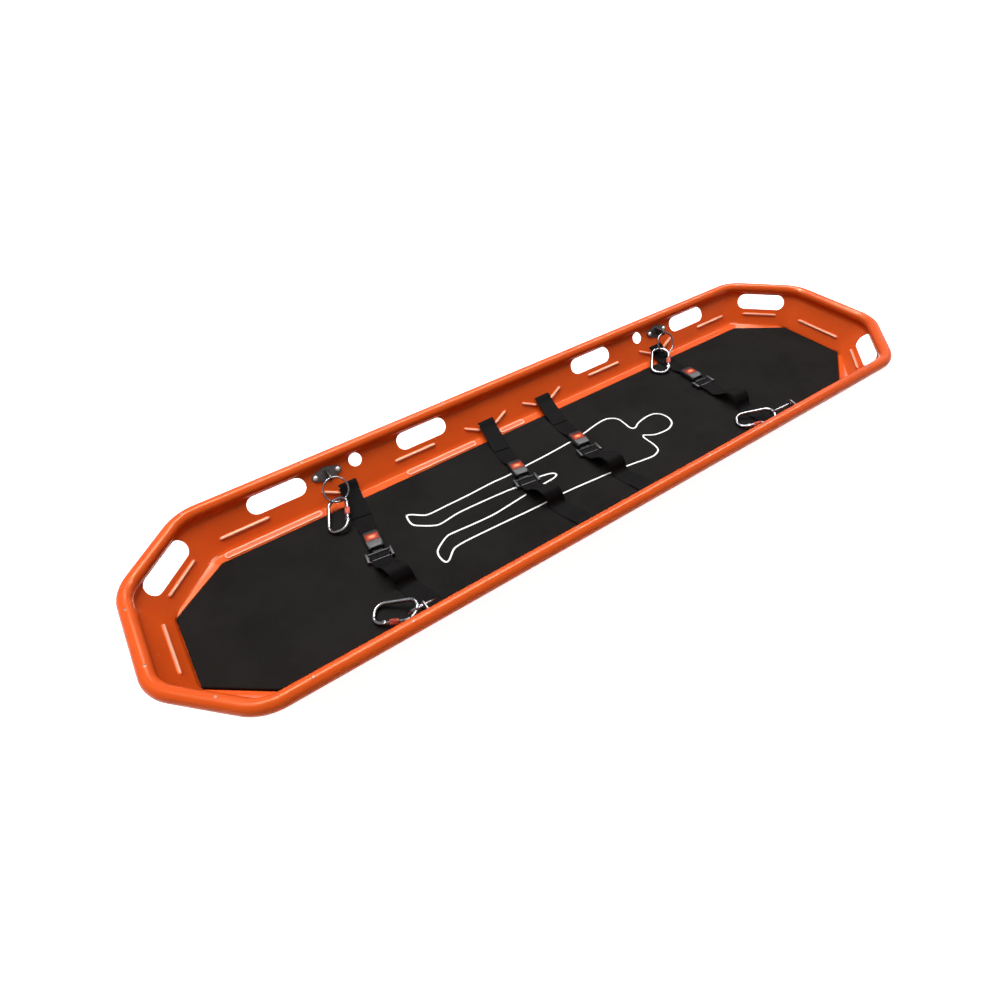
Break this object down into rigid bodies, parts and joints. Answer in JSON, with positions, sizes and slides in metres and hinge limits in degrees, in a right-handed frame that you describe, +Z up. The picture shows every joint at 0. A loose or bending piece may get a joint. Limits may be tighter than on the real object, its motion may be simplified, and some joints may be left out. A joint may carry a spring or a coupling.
{
  "type": "basket stretcher",
  "caption": "Moulded basket stretcher with rolled rim over a metal tube, hand openings, foam mat, buckled patient straps, and lifting rings with screw-gate carabiners.",
  "frame": {"origin": "middle of the shell in plan, on the surface that its runners stand on", "axes": "+X runs along the stretcher to the head end, +Y across it, +Z up"},
  "size_m": [2.18, 0.615, 0.16],
  "materials": {
    "orange_shell": "glossy moulded orange polyethylene",
    "aluminium": "plain drawn aluminium tube",
    "foam": "black closed-cell foam with a coated face",
    "webbing": "woven black polyester webbing",
    "buckle_plastic": "satin black plastic",
    "button_red": "glossy red plastic",
    "black_steel": "black lacquered steel",
    "plate_steel": "dull grey steel",
    "bright_steel": "polished steel",
    "sleeve_red": "red lacquered steel"
  },
  "bodies": {
    "stretcher": {"shell": "orange_shell", "rim_tube": "aluminium", "mat": "foam", "anchor_foot_back": "plate_steel", "anchor_bolts_foot_back": "bright_steel", "anchor_head_back": "plate_steel", "anchor_bolts_head_back": "bright_steel", "anchor_foot_front": "plate_steel", "anchor_bolts_foot_front": "bright_steel", "anchor_head_front": "plate_steel", "anchor_bolts_head_front": "bright_steel", "keeper_back_1": "plate_steel", "keeper_front_1": "plate_steel", "webbing_back_1": "webbing", "buckle_body_1": "buckle_plastic", "webbing_front_1": "webbing", "keeper_back_2": "plate_steel", "keeper_front_2": "plate_steel", "webbing_back_2": "webbing", "buckle_body_2": "buckle_plastic", "webbing_front_2": "webbing", "keeper_back_3": "plate_steel", "keeper_front_3": "plate_steel", "webbing_back_3": "webbing", "buckle_body_3": "buckle_plastic", "webbing_front_3": "webbing", "keeper_back_4": "plate_steel", "keeper_front_4": "plate_steel", "webbing_back_4": "webbing", "buckle_body_4": "buckle_plastic", "webbing_front_4": "webbing"},
    "ring_foot_back": {"ring_foot_back": "bright_steel"},
    "carabiner_foot_back": {"carabiner_foot_back": "bright_steel"},
    "gate_foot_back": {"gate_foot_back": "bright_steel"},
    "sleeve_foot_back": {"locking_sleeve_foot_back": "sleeve_red"},
    "ring_head_back": {"ring_head_back": "bright_steel"},
    "carabiner_head_back": {"carabiner_head_back": "bright_steel"},
    "gate_head_back": {"gate_head_back": "bright_steel"},
    "sleeve_head_back": {"locking_sleeve_head_back": "sleeve_red"},
    "ring_foot_front": {"ring_foot_front": "bright_steel"},
    "carabiner_foot_front": {"carabiner_foot_front": "bright_steel"},
    "gate_foot_front": {"gate_foot_front": "bright_steel"},
    "sleeve_foot_front": {"locking_sleeve_foot_front": "sleeve_red"},
    "ring_head_front": {"ring_head_front": "bright_steel"},
    "carabiner_head_front": {"carabiner_head_front": "bright_steel"},
    "gate_head_front": {"gate_head_front": "bright_steel"},
    "sleeve_head_front": {"locking_sleeve_head_front": "sleeve_red"},
    "button_1": {"release_button_1": "button_red"},
    "tongue_1": {"tongue_1": "black_steel", "adjuster_bar_1": "black_steel"},
    "button_2": {"release_button_2": "button_red"},
    "tongue_2": {"tongue_2": "black_steel", "adjuster_bar_2": "black_steel"},
    "button_3": {"release_button_3": "button_red"},
    "tongue_3": {"tongue_3": "black_steel", "adjuster_bar_3": "black_steel"},
    "button_4": {"release_button_4": "button_red"},
    "tongue_4": {"tongue_4": "black_steel", "adjuster_bar_4": "black_steel"}
  },
  "joints": [
    {"name": "ring_swing_foot_back", "type": "hinge", "parent": "stretcher", "child": "ring_foot_back", "pos_m": [-0.57, 0.24043, 0.11675], "axis": [-1, 0, 0], "range_deg": [0, 90]},
    {"name": "carabiner_swing_foot_back", "type": "hinge", "parent": "ring_foot_back", "child": "carabiner_foot_back", "pos_m": [-0.57, 0.20149, 0.06723], "axis": [-0.9135, 0.4068, 0], "range_deg": [0, 27]},
    {"name": "gate_open_foot_back", "type": "hinge", "parent": "carabiner_foot_back", "child": "gate_foot_back", "pos_m": [-0.58303, 0.13372, 0.06674], "axis": [-0.3372, -0.0433, 0.9404], "range_deg": [0, 28], "stiffness_Nm_per_rad": 0.02, "springref_deg": -17.19},
    {"name": "sleeve_lock_foot_back", "type": "slide", "parent": "gate_foot_back", "child": "sleeve_foot_back", "axis": [0.3998, 0.8978, 0.1847], "range_m": [0, 0.011]},
    {"name": "ring_swing_head_back", "type": "hinge", "parent": "stretcher", "child": "ring_head_back", "pos_m": [0.57, 0.24043, 0.11675], "axis": [-1, 0, 0], "range_deg": [0, 90]},
    {"name": "carabiner_swing_head_back", "type": "hinge", "parent": "ring_head_back", "child": "carabiner_head_back", "pos_m": [0.57, 0.20667, 0.06356], "axis": [-0.7194, 0.6946, 0], "range_deg": [0, 45]},
    {"name": "gate_open_head_back", "type": "hinge", "parent": "carabiner_head_back", "child": "gate_head_back", "pos_m": [0.51881, 0.15379, 0.05726], "axis": [-0.1799, -0.1865, 0.9659], "range_deg": [0, 28], "stiffness_Nm_per_rad": 0.02, "springref_deg": -17.19},
    {"name": "sleeve_lock_head_back", "type": "slide", "parent": "gate_head_back", "child": "sleeve_head_back", "axis": [0.6709, 0.6948, 0.2591], "range_m": [0, 0.011]},
    {"name": "ring_swing_foot_front", "type": "hinge", "parent": "stretcher", "child": "ring_foot_front", "pos_m": [-0.57, -0.24043, 0.11675], "axis": [1, 0, 0], "range_deg": [0, 90]},
    {"name": "carabiner_swing_foot_front", "type": "hinge", "parent": "ring_foot_front", "child": "carabiner_foot_front", "pos_m": [-0.57, -0.20137, 0.06733], "axis": [0.596, 0.803, 0], "range_deg": [0, 25]},
    {"name": "gate_open_foot_front", "type": "hinge", "parent": "carabiner_foot_front", "child": "gate_foot_front", "pos_m": [-0.64627, -0.18765, 0.05556], "axis": [-0.2325, 0.0936, 0.9681], "range_deg": [0, 28], "stiffness_Nm_per_rad": 0.02, "springref_deg": -17.19},
    {"name": "sleeve_lock_foot_front", "type": "slide", "parent": "gate_foot_front", "child": "sleeve_foot_front", "axis": [0.779, -0.5781, 0.243], "range_m": [0, 0.011]},
    {"name": "ring_swing_head_front", "type": "hinge", "parent": "stretcher", "child": "ring_head_front", "pos_m": [0.57, -0.24043, 0.11675], "axis": [1, 0, 0], "range_deg": [0, 90]},
    {"name": "carabiner_swing_head_front", "type": "hinge", "parent": "ring_head_front", "child": "carabiner_head_front", "pos_m": [0.57, -0.20161, 0.06714], "axis": [0.6279, 0.7783, 0], "range_deg": [0, 60]},
    {"name": "gate_open_head_front", "type": "hinge", "parent": "carabiner_head_front", "child": "gate_head_front", "pos_m": [0.4795, -0.19559, 0.05592], "axis": [-0.2857, 0.0886, 0.9542], "range_deg": [0, 28], "stiffness_Nm_per_rad": 0.02, "springref_deg": -17.19},
    {"name": "sleeve_lock_head_front", "type": "slide", "parent": "gate_head_front", "child": "sleeve_head_front", "axis": [0.7472, -0.6028, 0.2797], "range_m": [0, 0.011]},
    {"name": "button_press_1", "type": "slide", "parent": "stretcher", "child": "button_1", "axis": [0, 0, -1], "range_m": [0, 0.003], "stiffness_N_per_m": 300, "springref_m": -0.004},
    {"name": "tongue_pull_1", "type": "slide", "parent": "stretcher", "child": "tongue_1", "axis": [-0.1461, -0.9893, 0], "range_m": [0, 0.035], "deforming": ["webbing_front_1"]},
    {"name": "button_press_2", "type": "slide", "parent": "stretcher", "child": "button_2", "axis": [0, 0, -1], "range_m": [0, 0.003], "stiffness_N_per_m": 300, "springref_m": -0.004},
    {"name": "tongue_pull_2", "type": "slide", "parent": "stretcher", "child": "tongue_2", "axis": [-0.1564, -0.9877, 0], "range_m": [0, 0.035], "deforming": ["webbing_front_2"]},
    {"name": "button_press_3", "type": "slide", "parent": "stretcher", "child": "button_3", "axis": [0, 0, -1], "range_m": [0, 0.003], "stiffness_N_per_m": 300, "springref_m": -0.004},
    {"name": "tongue_pull_3", "type": "slide", "parent": "stretcher", "child": "tongue_3", "axis": [-0.1219, -0.9925, 0], "range_m": [0, 0.035], "deforming": ["webbing_front_3"]},
    {"name": "button_press_4", "type": "slide", "parent": "stretcher", "child": "button_4", "axis": [0, 0, -1], "range_m": [0, 0.003], "stiffness_N_per_m": 300, "springref_m": -0.004},
    {"name": "tongue_pull_4", "type": "slide", "parent": "stretcher", "child": "tongue_4", "axis": [-0.0349, -0.9994, 0], "range_m": [0, 0.035], "deforming": ["webbing_front_4"]}
  ]
}
